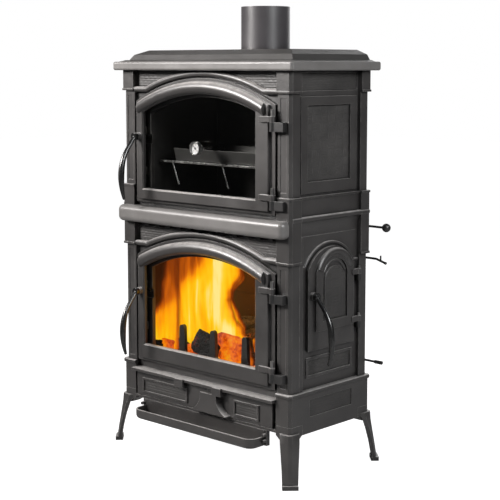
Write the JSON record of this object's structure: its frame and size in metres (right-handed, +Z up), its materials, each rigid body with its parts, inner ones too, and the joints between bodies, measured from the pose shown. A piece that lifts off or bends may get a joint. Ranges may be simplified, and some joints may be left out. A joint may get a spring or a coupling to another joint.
{
  "type": "wood-burning stove with oven",
  "caption": "Tall cast-iron wood stove: arched glazed fire door and glazed bread oven above, side loading door, ash drawer, control rods, splayed legs, flue collar.",
  "frame": {"origin": "on the floor, under the middle of the whole stove's box, handles and rods included", "axes": "+Z up, -Y out of the front where the doors are, +X to the stove's right side with the side door"},
  "size_m": [0.8153, 0.4873, 1.367],
  "materials": {
    "cast_iron": "satin black paint over fine sand-cast skin",
    "textured_iron": "satin black paint over cast relief",
    "handle_iron": "smooth black enamel",
    "hot_glass": "clear ceramic glass",
    "seal_rope": "braided glass-fibre rope",
    "bare_steel": "turned bright steel",
    "black_sheet": "matt black stove paint on sheet steel",
    "galvanised": "zinc-coated sheet",
    "firebrick": "rough sooted refractory",
    "oven_enamel": "smooth dark enamel",
    "chromed_wire": "chromed wire",
    "dial_case": "polished rim with a pale dial",
    "dial_needle": "black needle"
  },
  "bodies": {
    "root": {"top_plate": "cast_iron", "flue_pipe": "black_sheet", "flue_spigot": "cast_iron", "post_front_right": "cast_iron", "post_front_left": "cast_iron", "post_rear_right": "cast_iron", "post_rear_left": "cast_iron", "upper_front_frame": "textured_iron", "lower_front_frame": "textured_iron", "mid_shelf": "cast_iron", "side_bands": "cast_iron", "oven_side_right": "textured_iron", "oven_side_left": "textured_iron", "firebox_side_right": "textured_iron", "firebox_side_left": "textured_iron", "blank_side_panel": "cast_iron", "back_panel": "black_sheet", "rear_flue_cover": "cast_iron", "panel_bolts": "bare_steel", "base_frame": "cast_iron", "base_plate": "cast_iron", "leg_front_right": "cast_iron", "leg_front_left": "cast_iron", "leg_rear_right": "cast_iron", "leg_rear_left": "cast_iron", "oven_box": "oven_enamel", "oven_floor_plate": "cast_iron", "firebrick_left": "firebrick", "firebrick_right": "firebrick", "firebrick_rear": "firebrick", "firebox_floor": "cast_iron", "grate": "cast_iron", "log_guard": "cast_iron", "baffle_plate": "cast_iron", "ash_lip": "cast_iron", "hinge_brackets": "cast_iron", "hinge_pins": "bare_steel", "rod_guides": "black_sheet"},
    "oven_door": {"oven_door_frame": "cast_iron", "oven_door_glass": "hot_glass", "oven_door_gasket": "seal_rope", "oven_glass_clips": "bare_steel", "thermometer_case": "dial_case"},
    "needle": {"thermometer_needle": "dial_needle"},
    "oven_latch": {"oven_handle": "handle_iron"},
    "fire_door": {"fire_door_frame": "cast_iron", "fire_door_glass": "hot_glass", "fire_door_gasket": "seal_rope", "fire_glass_clips": "bare_steel"},
    "fire_latch": {"fire_handle": "handle_iron"},
    "side_door": {"side_door_leaf": "cast_iron", "side_door_gasket": "seal_rope"},
    "side_latch": {"side_handle": "handle_iron"},
    "ash_drawer": {"ash_drawer_front": "cast_iron", "ash_pan": "galvanised"},
    "oven_shelf": {"oven_rack": "chromed_wire", "oven_tray": "oven_enamel"},
    "damper": {"damper_rod": "bare_steel"},
    "upper_air": {"upper_air_rod": "bare_steel"},
    "primary_air": {"primary_air_rod": "bare_steel"}
  },
  "joints": [
    {"name": "oven_door_hinge", "type": "hinge", "parent": "root", "child": "oven_door", "pos_m": [0.26948, -0.16348, 0.93], "axis": [0, 0, 1], "range_deg": [0, 110]},
    {"name": "needle_turn", "type": "hinge", "parent": "oven_door", "child": "needle", "pos_m": [-0.03152, -0.17248, 0.946], "axis": [0, 1, 0], "range_deg": [-90, 180]},
    {"name": "oven_handle_turn", "type": "hinge", "parent": "oven_door", "child": "oven_latch", "pos_m": [-0.28552, -0.17248, 0.972], "axis": [0, 1, 0], "range_deg": [0, 60]},
    {"name": "fire_door_hinge", "type": "hinge", "parent": "root", "child": "fire_door", "pos_m": [0.26948, -0.16348, 0.442], "axis": [0, 0, 1], "range_deg": [0, 110]},
    {"name": "fire_handle_turn", "type": "hinge", "parent": "fire_door", "child": "fire_latch", "pos_m": [-0.28552, -0.17248, 0.49], "axis": [0, 1, 0], "range_deg": [0, 60]},
    {"name": "side_door_hinge", "type": "hinge", "parent": "root", "child": "side_door", "pos_m": [0.33248, 0.15052, 0.514], "axis": [0, 0, 1], "range_deg": [0, 100]},
    {"name": "side_handle_turn", "type": "hinge", "parent": "side_door", "child": "side_latch", "pos_m": [0.33648, -0.05448, 0.535], "axis": [-1, 0, 0], "range_deg": [0, 60]},
    {"name": "ash_drawer_slide", "type": "slide", "parent": "root", "child": "ash_drawer", "axis": [0, -1, 0], "range_m": [0, 0.23]},
    {"name": "oven_shelf_slide", "type": "slide", "parent": "root", "child": "oven_shelf", "axis": [0, -1, 0], "range_m": [0, 0.03]},
    {"name": "damper_slide", "type": "slide", "parent": "root", "child": "damper", "axis": [1, 0, 0], "range_m": [0, 0.04]},
    {"name": "upper_air_slide", "type": "slide", "parent": "root", "child": "upper_air", "axis": [1, 0, 0], "range_m": [0, 0.04]},
    {"name": "primary_air_slide", "type": "slide", "parent": "root", "child": "primary_air", "axis": [1, 0, 0], "range_m": [0, 0.04]}
  ]
}
